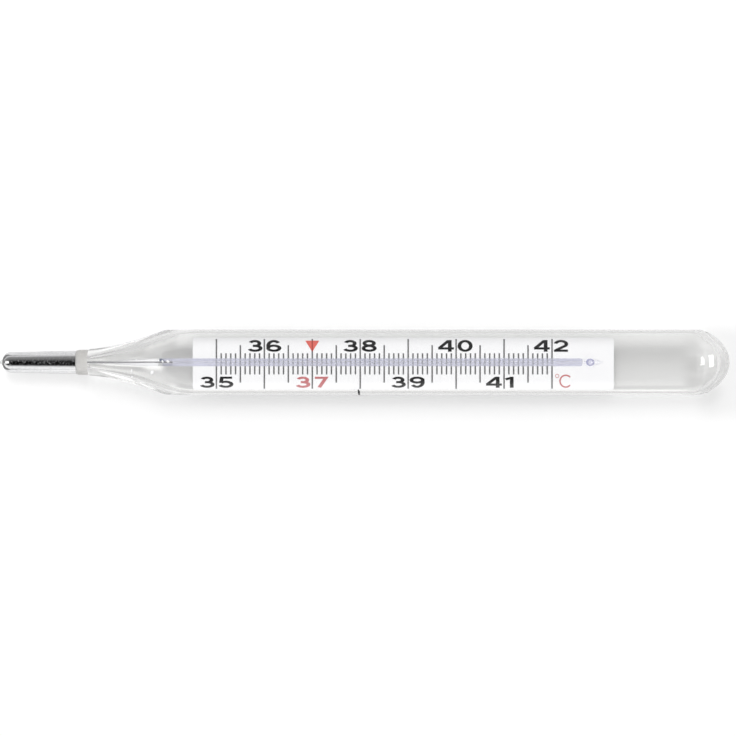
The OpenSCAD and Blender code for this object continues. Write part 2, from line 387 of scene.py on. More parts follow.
def glassMaterial(name, look):
    material, tree, shader = newMaterial(name)
    draw = tree.shade("Group", {
        "Wave Scale": look["waveScale"], "Stretch": look["stretch"],
        "Haze": look["haze"], "Haze Scale": look["hazeScale"],
    }, node_tree=drawnGlass).outputs
    # painted light: the glass glows faintly for rays past a set bounce depth, which fills in the dark spots where
    # rays caught inside the thick wall would go black
    deepRay = tree.math("GREATER_THAN", tree.path()["Ray Depth"], look["glowFromDepth"])
    tree.feed(shader, {
        "Base Color": (*look["tint"], 1), "Transmission Weight": look["transmission"], "IOR": look["ior"],
        "Roughness": draw["Roughness"], "Normal": tree.bump(draw["Height"], look["waveHeight"]),
        "Emission Color": tree.math("MULTIPLY", deepRay, look["paintedGlow"]), "Emission Strength": 1.0,
    })
    letLightThrough(tree, shader, look)
    return material


sheathGlassLook = {
    "tint": (0.985, 0.985, 0.98), "transmission": 1.0, "ior": 1.48,
    "waveScale": 260.0, "stretch": 0.12, "waveHeight": 0.0015 * mm, "haze": 0.04, "hazeScale": 180.0,
    "faceOn": 0.99, "edgeOn": 0.4, "sides": ((-0.6, -2.4), (3.2, 4.8)), "glowFromDepth": 9.5, "paintedGlow": 0.07,
}
capillaryGlassLook = dict(
    sheathGlassLook, tint=(0.97, 0.97, 0.99), ior=1.5, waveScale=700.0, stretch=0.05,
    waveHeight=0.001 * mm, haze=0.03, edgeOn=0.9,
)
sheathGlass = glassMaterial("sheathGlass", sheathGlassLook)
bulbGlass = glassMaterial("bulbGlass", dict(sheathGlassLook, waveScale=500.0, waveHeight=0.003 * mm))
capillaryGlass = glassMaterial("capillaryGlass", capillaryGlassLook)
chamberGlass = glassMaterial("chamberGlass", dict(capillaryGlassLook, tint=(0.85, 0.85, 0.95)))


frostLook = {
    "colorLow": (0.53, 0.52, 0.505), "colorHigh": (0.69, 0.68, 0.66), "paintedSideLight": (1.32, 0.88),
    "transmission": 0.2, "ior": 1.48, "bleed": 0.85, "bleedReach": 2.4 * mm,
    "grainScale": 5200.0, "grainHeight": 0.02 * mm, "roughLow": 0.45, "roughHigh": 0.75,
}


def frostedGlassMaterial(look):
    material, tree, shader = newMaterial("frostedGlass")
    grain = addGrain(tree, look["grainScale"], 0.0, 1.0)
    tone = tree.mix("RGBA", grain["Factor"], (*look["colorLow"], 1), (*look["colorHigh"], 1))
    # painted light: the colour is lighter on the -Y side and darker on the +Y side, which evens out the shade
    # that the key lamp leaves on the -Y side
    place = tree.axes(tree.coords())
    side = tree.span(place["Y"], collarLow.y, collarHigh.y, *look["paintedSideLight"], "SMOOTHSTEP")
    tree.feed(shader, {
        "Base Color": tree.mix("RGBA", 1.0, tone, side, "MULTIPLY"),
        "Roughness": tree.span(grain["Factor"], 0.0, 1.0, look["roughLow"], look["roughHigh"]),
        "Normal": tree.bump(grain["Height"], look["grainHeight"]),
        "Transmission Weight": look["transmission"], "IOR": look["ior"], "Subsurface Weight": look["bleed"],
        "Subsurface Scale": look["bleedReach"], "Subsurface Radius": (1, 1, 1),
    })
    return material


frostedGlass = frostedGlassMaterial(frostLook)


mercuryLook = {
    "color": (0.86, 0.86, 0.87), "clouded": (0.78, 0.78, 0.80), "mottleScale": 2600.0,
    "roughLow": 0.02, "roughHigh": 0.3, "rippleScale": 1100.0, "rippleHeight": 0.004 * mm,
}


# liquid mirror with the faint film that dims it in patches
def mercuryMaterial(look):
    material, tree, shader = newMaterial("mercury")
    coords = tree.coords()
    film = tree.span(tree.noise(coords, look["mottleScale"], 5.0, 0.6), 0.45, 0.7)
    ripple = tree.noise(coords, look["rippleScale"], 2.0)
    tree.feed(shader, {
        "Base Color": tree.mix("RGBA", film, (*look["color"], 1), (*look["clouded"], 1)),
        "Roughness": tree.span(film, 0.0, 1.0, look["roughLow"], look["roughHigh"]),
        "Metallic": 1.0, "Normal": tree.bump(ripple, look["rippleHeight"]),
    })
    return material


mercury = mercuryMaterial(mercuryLook)


# a colour whose density follows the print grain
def grainMaterial(name, look):
    material, tree, shader = newMaterial(name)
    low, high = look["low"], look["high"]
    grain = addGrain(tree, look["grainScale"], low, high)
    tone = tree.shade("VectorMath", {0: look["color"], "Scale": grain["Factor"]}, operation="SCALE")
    tree.feed(shader, {
        "Base Color": tone,
        "Roughness": tree.span(grain["Factor"], low, high, look["roughLow"], look["roughHigh"]),
        "Normal": tree.bump(grain["Height"], look["grainHeight"], look["grainStrength"]),
    })
    return material


opalLook = {
    "color": (0.96, 0.96, 0.975), "grainScale": 2600.0, "low": 0.985, "high": 1.015,
    "roughLow": 0.28, "roughHigh": 0.42, "grainHeight": 0.002 * mm, "grainStrength": 0.6,
}
blackLook = {
    "color": (0.008, 0.008, 0.009), "grainScale": 9000.0, "low": 0.6, "high": 1.5,
    "roughLow": 0.4, "roughHigh": 0.65, "grainHeight": 0.004 * mm, "grainStrength": 0.6,
}
redLook = dict(blackLook, color=(0.78, 0.15, 0.12), low=0.88, high=1.1)
opalWhite = grainMaterial("opalWhite", opalLook)
blackInk = grainMaterial("blackInk", blackLook)
lineInk = grainMaterial("lineInk", dict(blackLook, color=(0.14, 0.14, 0.145)))
redInk = grainMaterial("redInk", redLook)
paleRedInk = grainMaterial("paleRedInk", dict(redLook, color=(0.57, 0.185, 0.195)))
coveredInk = grainMaterial("coveredInk", dict(redLook, color=(0.38, 0.05, 0.04)))


enamelLook = {
    "color": (0.70, 0.705, 0.79), "cover": 0.56, "streakScale": 900.0, "streakStretch": (0.08, 1, 1),
    "streakTones": (0.94, 1.06), "roughness": 0.35, "clear": (0.93, 0.93, 0.98), "glow": (0.95, 0.95, 0.97),
}


# lilac enamel that the scale still shows through
def enamelMaterial(name, look):
    material, tree, shader = newMaterial(name)
    along = tree.shade("Mapping", {"Vector": tree.coords(), "Scale": look["streakStretch"]})
    streak = tree.noise(along, look["streakScale"], 3.0)
    tones = [(*[c * share for c in look["color"]], 1) for share in look["streakTones"]]
    tree.feed(shader, {"Base Color": tree.mix("RGBA", streak, *tones), "Roughness": look["roughness"]})
    clear = tree.shade("BsdfTransparent", {0: (*look["clear"], 1)})
    glow = tree.shade("BsdfTransparent", {0: (*look["glow"], 1)})
    veil = tree.shade("MixShader", {0: look["cover"], 1: clear, 2: shader})
    tree.surface(tree.shade("MixShader", {0: tree.path()["Is Shadow Ray"], 1: veil, 2: glow}))
    return material


lilacEnamel = enamelMaterial("lilacEnamel", enamelLook)
# painted shade: darker lilac for the ring that stands for the dark rim the glass bends round the chamber
chamberRimShade = enamelMaterial("chamberRimShade", dict(enamelLook, color=(0.30, 0.30, 0.52), cover=0.45))
footEnamel = enamelMaterial("footEnamel", dict(enamelLook, color=(0.10, 0.13, 0.22), cover=0.75))
print("materials made:", len(bpy.data.materials))


# glass sheath: outer wall from dome to neck, then the hollow from neck to dome

sheath = {
    "neckRadius": 2.25, "neckLength": 13.9, "neckSlope": 3.5, "shoulderSlope": 20.6, "shoulderRadius": 4.0,
    "seat": [(-0.15, 1.85), (-0.06, 2.06), (0.0, 2.18)], "hollowBulge": 1.8,
    "fullness": 2.4, "hollowFullness": 2.2, "wall": 0.7, "sideWall": 0.65,
    "domeLength": 5.57, "domeFullness": 1.33, "domeEase": 0.45, "hollowBack": 0.7, "hollowDome": 4.4,
    "neckSteps": 40, "shoulderSteps": 10, "spanSteps": 8, "bodySteps": 8, "domeSteps": 36, "sides": 128,
}
# half width of the hollow in mm, by distance from the collar: it follows the outer wall to the body
hollowLine = [
    (0.0, 0.72), (1.5, 0.95), (3.0, 1.25), (6.2, 1.95), (8.8, 2.65), (10.5, 3.25), (11.6, 3.65),
    (12.6, 4.0), (13.7, 4.35), (15.2, 4.7), (16.8, 4.88), (18.4, 4.95),
]


# outer line of the neck, which leaves the collar at one slope and rises to a round shoulder
def flare(r0, r1):
    length, radius = sheath["neckLength"], sheath["shoulderRadius"]
    slope, endSlope = radians(sheath["neckSlope"]), radians(sheath["shoulderSlope"])
    foot = Vector((0, r0))
    top = Vector((length - radius * sin(endSlope), r1 - radius * (1 - cos(endSlope))))
    rise = tan(endSlope)
    meet = (top.y - r0 - rise * top.x) / (tan(slope) - rise)
    knee = Vector((meet, r0 + tan(slope) * meet))
    rows = [foot.lerp(knee, t).lerp(knee.lerp(top, t), t) for t in steps(sheath["neckSteps"])]
    for t in steps(sheath["shoulderSteps"])[1:]:
        a = endSlope * (1 - t)
        rows.append(Vector((length - radius * sin(a), r1 - radius * (1 - cos(a)))))
    return rows


# smooth line through points
def splined(points, count):
    points = [Vector(p) for p in points]
    ends = [points[0] * 2 - points[1]] + points + [points[-1] * 2 - points[-2]]
    rows = []
    for a, b, c, d in zip(ends, ends[1:], ends[2:], ends[3:]):
        slope, bow, twist = c - a, a * 2 - b * 5 + c * 4 - d, b * 3 - a - c * 3 + d
        for t in steps(count)[:-1]:
            rows.append(b + (slope * t + bow * t * t + twist * t ** 3) / 2)
    return rows + [points[-1]]


def neckStations(rows, r0, r1, depth, endFullness, bulge=1.0):
    stations = []
    for x, r in rows:
        t = (r - r0) / (r1 - r0)
        high = mix(r0, depth, 1 - max(0.0, 1 - t) ** bulge)
        stations.append((sheathLow.x + x * mm, r * mm, high * mm, mix(trueOval, endFullness, t), noBack))
    return stations


def domeStations(width, depth, length, fullness, back=0.0):
    start = sheathHigh.x - (sheath["domeLength"] + back) * mm
    stations = []
    for t in steps(sheath["domeSteps"]):
        a = pi / 2 * t
        power = mix(1.0, sheath["domeFullness"], min(1.0, t / sheath["domeEase"]))
        reach = length * mm * sin(a) ** power
        shrink = max(cos(a), 0.0) if t < 1 else 0.0
        stations.append((start + reach, width * shrink * mm, depth * shrink * mm, fullness, noBack))
    return stations


def bodyStations(width, depth, fullness, start, back=0.0):
    start = sheathLow.x + start * mm
    end = sheathHigh.x - (sheath["domeLength"] + back) * mm
    inner = steps(sheath["bodySteps"])[1:-1]
    return [(mix(start, end, t), width * mm, depth * mm, fullness, noBack) for t in inner]


def makeSheath():
    width, depth = halfWidth / mm, halfDepth / mm
    full, neckRadius = sheath["fullness"], sheath["neckRadius"]
    outerWall = roundStations(sheath["seat"], sheathLow.x, mm)
    outerWall += neckStations(flare(neckRadius, width)[1:], neckRadius, width, depth, full)
    outerWall += bodyStations(width, depth, full, sheath["neckLength"])
    outerWall += domeStations(width, depth, sheath["domeLength"], full)

    width, depth = width - sheath["sideWall"], depth - sheath["wall"]
    full, back = sheath["hollowFullness"], sheath["hollowBack"]
    inner = splined(hollowLine, sheath["spanSteps"])
    innerWall = roundStations([(sheath["seat"][0][0], hollowLine[0][1])], sheathLow.x, mm)
    innerWall += neckStations(inner, inner[0].y, width, depth, full, sheath["hollowBulge"])
    innerWall += bodyStations(width, depth, full, inner[-1].x, back)
    innerWall += domeStations(width, depth, sheath["hollowDome"], full, back)
    walls = outerWall[::-1] + innerWall
    return loftPiece(
        "glassSheath", walls, sheath["sides"], sheathGlass, "sheath", crease=50)


glassSheath = makeSheath()
print("sheath lofted:", len(glassSheath.data.polygons), "faces")


# painted glints: small white lumps in the glass of neck and foot stand for the glints there: place from the
# collar, across and up, and half sizes along, across and up, all in mm
paintedGlints = {
    "rows": [
        ((7.55, -1.5, 1.65), (0.16, 0.34, 0.2)), ((7.6, -2.3, 1.3), (0.14, 0.16, 0.12)),
        ((11.05, -1.75, 2.35), (0.36, 0.3, 0.2)), ((12.75, 0.16, 0.5), (0.24, 0.16, 0.1)),
        ((13.6, 0.14, 0.5), (0.26, 0.2, 0.1)), ((8.2, 0.5, 0.5), (0.12, 0.1, 0.08)),
    ],
    "turn": 0.7, "lumps": 0.3, "lumpScale": 1.6, "lumpStep": 7.0, "fineness": 3,
}


def makeSpecks():
    bm = bmesh.new()
    for number, (place, size) in enumerate(paintedGlints["rows"]):
        made = bmesh.ops.create_icosphere(bm, subdivisions=paintedGlints["fineness"], radius=mm)["verts"]
        turn = Matrix.Rotation(paintedGlints["turn"] * number, 3, "Z")
        shift = Vector((paintedGlints["lumpStep"] * number, 0, 0))
        for vert in made:
            point = Vector([c * s for c, s in zip(vert.co, size)])
            point *= 1 + paintedGlints["lumps"] * noise.noise(vert.co / mm * paintedGlints["lumpScale"] + shift)
            vert.co = turn @ point + Vector((sheathLow.x, 0, axisZ)) + Vector(place) * mm
    # painted glints: the lumps are opaque white
    mesh = meshFrom("paintedGlintLumps", bm, opalWhite, outward=False)
    smooth(mesh, crease=60)
    addPiece("paintedGlintLumps", mesh)


makeSpecks()


# bulb: shell with its nib, and the mercury that wets it

bulb = {
    "nibLength": 0.4, "nibRadius": 0.4, "nibBlend": 1.05, "tipRadius": 1.75, "rootRadius": 2.0,
    "endLength": 1.3, "wall": 0.3, "tipWall": 0.12, "innerEnd": 1.3, "wetting": 0.012, "plugHeight": 0.4,
    "arcSteps": 28, "taperSteps": 12, "sides": 96,
}


def roundEnd(radius, x, length):
    turns = [pi / 2 * t for t in steps(bulb["arcSteps"])]
    return [(x + length * (1 - cos(a)), radius * sin(a)) for a in turns]


# domed face between the mercury and the collar
def crown(x, height, radius, radii):
    return [(x - height * sqrt(max(0.0, 1 - (r / radius) ** 2)), r) for r in radii]


def taper(x0, r0, x1, r1):
    return [(mix(x0, x1, t), mix(r0, r1, t)) for t in steps(bulb["taperSteps"])[1:]]


def makeBulb():
    tip = bulbLow.x + bulb["nibLength"] * mm
    length = (bulbHigh.x - tip) / mm
    tipRadius, rootRadius, wall = bulb["tipRadius"], bulb["rootRadius"], bulb["wall"]
    innerEnd = bulb["innerEnd"]

    # the inside of the bulb, or the face of what fills it
    def inside(wall, tipWall):
        rows = roundEnd(tipRadius - wall, tipWall, innerEnd)
        return rows + taper(tipWall + innerEnd, tipRadius - wall, length, rootRadius - wall)

    nib = roundEnd(bulb["nibRadius"], -bulb["nibLength"], bulb["nibLength"])
    cap = roundEnd(tipRadius, 0, bulb["endLength"])
    cap = [row for row in cap if row[1] > bulb["nibRadius"] * bulb["nibBlend"]]
    rows = nib + cap + taper(bulb["endLength"], tipRadius, length, rootRadius)
    rows += inside(wall, bulb["tipWall"])[::-1]
    stations = roundStations(rows, tip, mm)
    loftPiece("bulbShell", stations, bulb["sides"], bulbGlass, "bulb_shell")

    # the mercury wets the glass, so its face lies just inside the wall
    fill = inside(wall - bulb["wetting"], bulb["tipWall"] - bulb["wetting"])
    fillRadius = rootRadius - (wall - bulb["wetting"])
    radii = [fillRadius * (1 - t) for t in steps(bulb["arcSteps"])[1:]]
    fill += crown(length, bulb["plugHeight"], fillRadius, radii)
    stations = roundStations(fill, tip, mm)
    loftPiece("bulbMercury", stations, bulb["sides"], mercury, "bulb_mercury")


makeBulb()
print("bulb made")


# frosted collar in which bulb, capillary and neck are fused

collar = {
    "holeRadius": 0.29, "frontEdge": 0.6, "frontDrop": 0.35, "backEdge": 0.15,
    "edgeSteps": 10, "wallSteps": 10, "sides": 96,
}


def makeCollar():
    radius = (collarHigh.z - collarLow.z) / 2
    front, back = bulbHigh.x, collarHigh.x
    long, drop, edge = collar["frontEdge"] * mm, collar["frontDrop"] * mm, collar["backEdge"] * mm
    turns = [pi / 2 * t for t in steps(collar["edgeSteps"])]
    rows = [(front + long * (1 - cos(a)), radius - drop + drop * sin(a)) for a in turns]
    rows += [(mix(front + long, back - edge, t), radius) for t in steps(collar["wallSteps"])[1:-1]]
    rows += [(back - edge * (1 - cos(a)), radius - edge + edge * sin(a)) for a in turns[::-1]]
    plugRadius = (bulb["rootRadius"] - bulb["wall"]) * mm
    hole = collar["holeRadius"] * mm
    radii = [mix(hole, plugRadius, t) for t in steps(bulb["arcSteps"])]
    face = crown(front, bulb["plugHeight"] * mm, plugRadius, radii)
    stations = roundStations([(back, hole)] + face + rows + [(back, hole)])
    loftPiece("weldCollar", stations, collar["sides"], frostedGlass, "weld_collar")


makeCollar()
print("collar made")


# capillary with its bore and expansion chamber

tube = {
    "radius": 0.7, "stemRadius": 0.28, "stemLength": 4.6, "widening": 8.0,
    "back": 0.5, "boreRadius": 0.12, "boreStart": 0.05, "chamberRadius": 0.45, "chamberFromTail": 2.2,
    "tailRadius": 0.18, "tailStart": 0.1, "pinchRadius": 0.46, "pinchFromTail": 3.25, "pinchLength": 0.75,
    "endSteps": 40, "chamberSteps": 16, "ramp": 1.0, "rampSteps": 8, "lengthSteps": 6, "sides": 96,
    "boreSides": 32,
}
chamberX = capHigh.x - tube["chamberFromTail"] * mm


def eased(t):
    t = min(1.0, max(0.0, t))
    return t * t * (3 - 2 * t)


# half width of the stem and of its widening to the full tube
def stemWidth(x):
    t = eased(((x - capLow.x) / mm - tube["stemLength"]) / tube["widening"])
    return mix(tube["stemRadius"], tube["radius"], t) * mm


# half width of the drawn end: a pinch, a swell round the chamber, then the tail
def endRadius(x):
    fromTail = (capHigh.x - x) / mm
    pinch = exp(-((fromTail - tube["pinchFromTail"]) / (tube["pinchLength"] / 2)) ** 2)
    radius = tube["radius"] - (tube["radius"] - tube["pinchRadius"]) * pinch
    draw = eased(1 - fromTail / (tube["chamberFromTail"] - tube["tailStart"]))
    return mix(radius, tube["tailRadius"], draw) * mm


def makeCapillary():
    radius, back = tube["radius"] * mm, -tube["back"] * mm
    flatStart = enamelLow.x
    rampEnd = flatStart + tube["ramp"] * mm
    endStart = capHigh.x - (tube["pinchFromTail"] + tube["pinchLength"]) * mm
    rows = [(capLow.x, 0.0, noBack), (capLow.x, tube["stemRadius"] * mm, noBack)]
    for t in steps(tube["rampSteps"]):
        x = capLow.x + (tube["stemLength"] + tube["widening"] * t) * mm
        rows.append((x, stemWidth(x), noBack))
    for t in steps(tube["rampSteps"]):
        rows.append((mix(flatStart, rampEnd, t), radius, mix(-radius, back, t)))
    rows += [(mix(rampEnd, endStart, t), radius, back) for t in steps(tube["lengthSteps"])[1:]]
    for t in steps(tube["endSteps"])[1:]:
        x = mix(endStart, capHigh.x, t)
        rows.append((x, endRadius(x), back))
    rows.append((capHigh.x, 0.0, back))
    stations = [(x, r, r, trueOval, low) for x, r, low in rows]
    outer = loftMesh("capillaryOuter", stations, tube["sides"], capillaryGlass)

    bore, ball = tube["boreRadius"] * mm, tube["chamberRadius"] * mm
    start = asin(bore / ball)
    boreX = capLow.x + tube["boreStart"] * mm
    hollow = [(boreX, 0.0), (boreX, bore)]
    for t in steps(tube["chamberSteps"]):
        a = mix(start, pi, t)
        hollow.append((chamberX - ball * cos(a), ball * sin(a) if t < 1 else 0.0))
    stations = roundStations(hollow)
    inner = loftMesh("capillaryBore", stations, tube["boreSides"], capillaryGlass, cavity=True)
    bm = bmesh.new()
    for wall in (outer, inner):
        bm.from_mesh(wall)
    mesh = meshFrom("capillaryTube", bm, capillaryGlass, chamberGlass, outward=False)
    for face in mesh.polygons:
        spot = face.center
        if abs(spot.x - chamberX) < ball and hypot(spot.y, spot.z - axisZ) < ball:
            face.material_index = 1
    smooth(mesh, crease=35)
    addPiece("capillaryTube", mesh, "capillary")


makeCapillary()

# enamel that gathered dark at the foot of the strip; a darker lilac ring round the chamber, painted shade for the
# dark rim that the glass bends round it; and a white shell drawn out to a point along the stem's lower side,
# painted light for the bright wedge that the neck shows there
gather = {
    "foot": [(-0.5, 0.55), (-0.5, -0.12), (0.35, 0.12)], "footLevel": -0.30, "thickness": 0.05,
    "ringX": (0.42, 0.66), "ringY": (0.36, 0.58), "ringLevel": 0.28, "ringSteps": 32,
    "tailSpan": (-10.4, -0.7), "tailTurn": (80, 4, 96), "tailDepth": (0.84, 0.95), "tailSteps": (24, 10),
}


# painted shade: a flat lilac ring round the chamber for its dark rim
def makeRing():
    turns = [tau * t for t in steps(gather["ringSteps"])[:-1]]
    rims = []
    for rx, ry in zip(gather["ringX"], gather["ringY"]):
        rims.append([(chamberX + rx * cos(a) * mm, ry * sin(a) * mm) for a in turns])
    low = axisZ + gather["ringLevel"] * mm
    high = low + gather["thickness"] * mm
    bm = bmesh.new()
    section = ((rims[0], low), (rims[1], low), (rims[1], high), (rims[0], high))
    bridge(bm, [ringAt(bm, rim, level) for rim, level in section], closed=True)
    flatPiece("chamberRing", bm, "lilac_enamel", chamberRimShade)


def makeFoot():
    level = axisZ + gather["footLevel"] * mm
    bm = bmesh.new()
    corners = [(enamelLow.x + x * mm, y * mm) for x, y in gather["foot"]]
    rings = [ringAt(bm, corners, z) for z in (level, level + gather["thickness"] * mm)]
    for ring in rings:
        bm.faces.new(ring)
    bridge(bm, rings)
    flatPiece("enamelFoot", bm, "lilac_enamel", footEnamel)


# painted light: an opaque white shell on the stem's lower side stands for the bright wedge that the neck shows
# there
def makeTail():
    bm = bmesh.new()
    along, around = gather["tailSteps"]
    wide, narrow, under = gather["tailTurn"]
    rings = []
    for t in steps(along):
        x = enamelLow.x + mix(*gather["tailSpan"], t) * mm
        side = mix(wide, narrow, sqrt(t))
        ring = []
        for depth, turns in zip(gather["tailDepth"], (steps(around), steps(around)[::-1])):
            for s in turns:
                a, r = radians(mix(side, under, s)), stemWidth(x) * depth
                ring.append(bm.verts.new((x, -r * cos(a), axisZ - r * sin(a))))
        rings.append(ring)
    bridge(bm, rings)
    bm.faces.new(rings[0])
    bm.faces.new(rings[-1])
    flatPiece("paintedLightTail", bm, "opal_white", opalWhite)


makeRing()
makeFoot()
makeTail()
print("capillary made")


# mercury in the bore: the thread lengthens, the meniscus rides at its upper end

thread = {"radius": 0.122, "crownSteps": 10, "lengthSteps": 40, "sides": 24}


def makeThread():
    radius, sides = thread["radius"] * mm, thread["sides"]
    rows = [(threadLow.x, 0.0)]
    rows += [(mix(threadLow.x, threadHigh.x, t), radius) for t in steps(thread["lengthSteps"])]
    rows.append((threadHigh.x, 0.0))
    mesh = loftMesh("mercuryThread", roundStations(rows), sides, mercury)
    smooth(mesh)
    column = addObject("mercuryThread", mesh)
    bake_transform(column, "glass", "mercury_column", start=(threadLow.x, 0, axisZ), end=(threadHigh.x, 0, axisZ))
    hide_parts("mercury_thread")

    rows = [(meniscusLow.x, 0.0), (meniscusLow.x, radius)]
    for t in steps(thread["crownSteps"]):
        a = pi / 2 * t
        rows.append((meniscusHigh.x - radius + radius * sin(a), radius * cos(a) if t < 1 else 0.0))
    stations = roundStations(rows)
    loftPiece("mercuryMeniscus", stations, sides, mercury, "mercury_meniscus", "mercury_column")


makeThread()
print("mercury thread made")


# graduation lines, one instance at every tenth of a degree

lines = {"degrees": 7, "tenths": 10, "width": 0.2, "inkSpread": 0.05, "half": 6.4, "tenth": 3.66}


def graduationTree():
    tree, given = newTree("graduationLines", {
        "Count": "Int", "First": "Vector", "Spacing": "Float", "Line Width": "Float", "Ink Height": "Float",
        "Degree Line": "Float", "Half Line": "Float", "Tenth Line": "Float", "Material": "Material",
    })
    step = tree.shade("CombineXYZ", {0: given["Spacing"]})
    row = tree.shape("MeshLine", {"Count": given["Count"], "Start Location": given["First"], "Offset": step})
    bar = tree.shape("MeshCube")
    index = tree.shape("InputIndex")

    def every(number):
        return tree.math("LESS_THAN", tree.math("MODULO", index, number), 0.5)

    shorter = tree.mix("FLOAT", every(lines["tenths"] // 2), given["Tenth Line"], given["Half Line"])
    span = tree.mix("FLOAT", every(lines["tenths"]), shorter, given["Degree Line"])
    size = tree.shade("CombineXYZ", {0: given["Line Width"], 1: span, 2: given["Ink Height"]})
    place = tree.shape("InstanceOnPoints", {"Points": row, "Instance": bar, "Scale": size})
    return endTree(tree, place, given["Material"])


inkLow, inkHigh = linesLow.z, linesHigh.z
firstX = linesLow.x + lines["width"] * mm / 2
lastX = linesHigh.x - lines["width"] * mm / 2
degree = (lastX - firstX) / lines["degrees"]


def makeLines():
    inkHeight = inkHigh - inkLow
    mesh = runTree("graduations", bpy.data.meshes.new("linesSeed"), graduationTree(), {
        "Count": lines["degrees"] * lines["tenths"] + 1,
        "First": (firstX, plateMidY, inkLow + inkHeight / 2),
        "Spacing": degree / lines["tenths"],
        "Line Width": (lines["width"] + lines["inkSpread"]) * mm,
        "Ink Height": inkHeight,
        "Degree Line": linesHigh.y - linesLow.y,
        "Half Line": lines["half"] * mm,
        "Tenth Line": lines["tenth"] * mm,
        "Material": lineInk,
    })
    addPiece("graduations", mesh, "graduation_lines")


makeLines()
print("graduations made")


# numerals, unit and pointer, drawn with a flat pen and united into one layer of colour

signs = {
    "upperHeight": 1.95, "lowerHeight": 1.84, "width": 3.36, "pen": 0.188, "cell": 0.753, "mitreLimit": 0.3,
    "leftGap": 0.35, "rightGap": 0.36, "laterNudge": -0.09,
    "upperRow": 3.08, "lowerRow": -3.15, "firstNumber": 35, "redNumber": 37, "arcSteps": 20,
    "unitPlace": (2.36, -2.97), "unitRadius": 0.99, "unitPen": 0.25, "unitTurn": (42, 318),
    "ringPlace": (0.88, -2.1), "ringRadius": 0.30, "ringPen": 0.09,
    "pointerWidth": 2.4, "pointerTop": 3.96, "pointerTip": 2.08, "pointerLift": 0.004, "coveredLine": 0.2,
}


def arc(cx, cy, rx, ry, start, end):
    count = max(4, round(signs["arcSteps"] * abs(end - start) / 180))
    turns = [radians(mix(start, end, t)) for t in steps(count)]
    return [(cx + rx * cos(a), cy + ry * sin(a)) for a in turns]


def loop(cx, cy, rx, ry):
    return arc(cx, cy, rx, ry, 0, 360)[:-1] + ["closed"]


# strokes lie in a cell one unit high, before the stretch across
def numeralStrokes():
    mid = signs["cell"] / 2
    six = [arc(mid, 0.5, 0.29, 0.413, 38, 195), loop(mid, 0.305, 0.29, 0.218)]
    nine = []
    for stroke in six:
        nine.append([p if p == "closed" else (signs["cell"] - p[0], 1 - p[1]) for p in stroke])
    return {
        "0": [loop(mid, 0.5, 0.29, 0.413)],
        "1": [[(0.31, 0), (0.31, 1)], [(0.0, 0.76), (0.29, 0.90)]],
        "2": [arc(mid, 0.66, 0.275, 0.253, 170, -35) + [(0.12, 0.13)], [(0.02, 0.087), (0.73, 0.087)]],
        "3": [
            arc(0.37, 0.708, 0.235, 0.205, 160, -90), arc(mid, 0.297, 0.29, 0.21, 90, -162),
            [(0.27, 0.505), (0.40, 0.505)],
        ],
        "4": [[(0.56, 0), (0.56, 1)], [(-0.03, 0.285), (0.77, 0.285)], [(0.50, 0.95), (0.02, 0.30)]],
        "5": [[(0.69, 0.913), (0.17, 0.913), (0.125, 0.44)], arc(0.365, 0.315, 0.30, 0.228, 138, -160)],
        "6": six,
        "7": [[(0.02, 0.906), (0.59, 0.906), (0.25, 0.03)]],
        "8": [loop(mid, 0.722, 0.245, 0.191), loop(mid, 0.297, 0.29, 0.21)],
        "9": nine,
    }


# one stroke becomes a closed prism, mitred at its bends
def addStroke(bm, stroke, pen, toPlate):
    closed = stroke[-1] == "closed"
    points = [Vector(p) for p in (stroke[:-1] if closed else stroke)]
    count = len(points)
    rings = []
    for i, point in enumerate(points):
        before = points[i - 1] if closed or i > 0 else None
        after = points[(i + 1) % count] if closed or i < count - 1 else None
        come = (point - before).normalized() if before is not None else (after - point).normalized()
        go = (after - point).normalized() if after is not None else come
        bend = (come + go).normalized()
        side = Vector((-bend.y, bend.x)) * (pen / 2 / max(signs["mitreLimit"], bend.dot(come)))
        left, right = toPlate(point + side), toPlate(point - side)
        ring = [(*left, inkLow), (*right, inkLow), (*right, inkHigh), (*left, inkHigh)]
        rings.append([bm.verts.new(corner) for corner in ring])
    bridge(bm, rings, closed)
    if not closed:
        bm.faces.new(rings[0][::-1])
        bm.faces.new(rings[-1])


def inkUnionTree():
    tree, given = newTree("inkUnion", {"Material": "Material"})
    inputs = {"Self Intersection": True, "Mesh 2": given["Geometry"]}
    unite = tree.shape("MeshBoolean", inputs, operation="UNION", solver="EXACT")
    return endTree(tree, unite, given["Material"])


inkUnion = inkUnionTree()


def inkPiece(name, bm, material):
    mesh = runTree(name, meshFrom(name + "Strokes", bm), inkUnion, {"Material": material})
    addPiece(name, mesh)


def addNumeral(bm, strokes, left, middleY, height):
    def toPlate(point):
        return left + point.x * signs["width"] * mm, middleY + (point.y - 0.5) * height * mm

    for stroke in strokes:
        addStroke(bm, stroke, signs["pen"], toPlate)


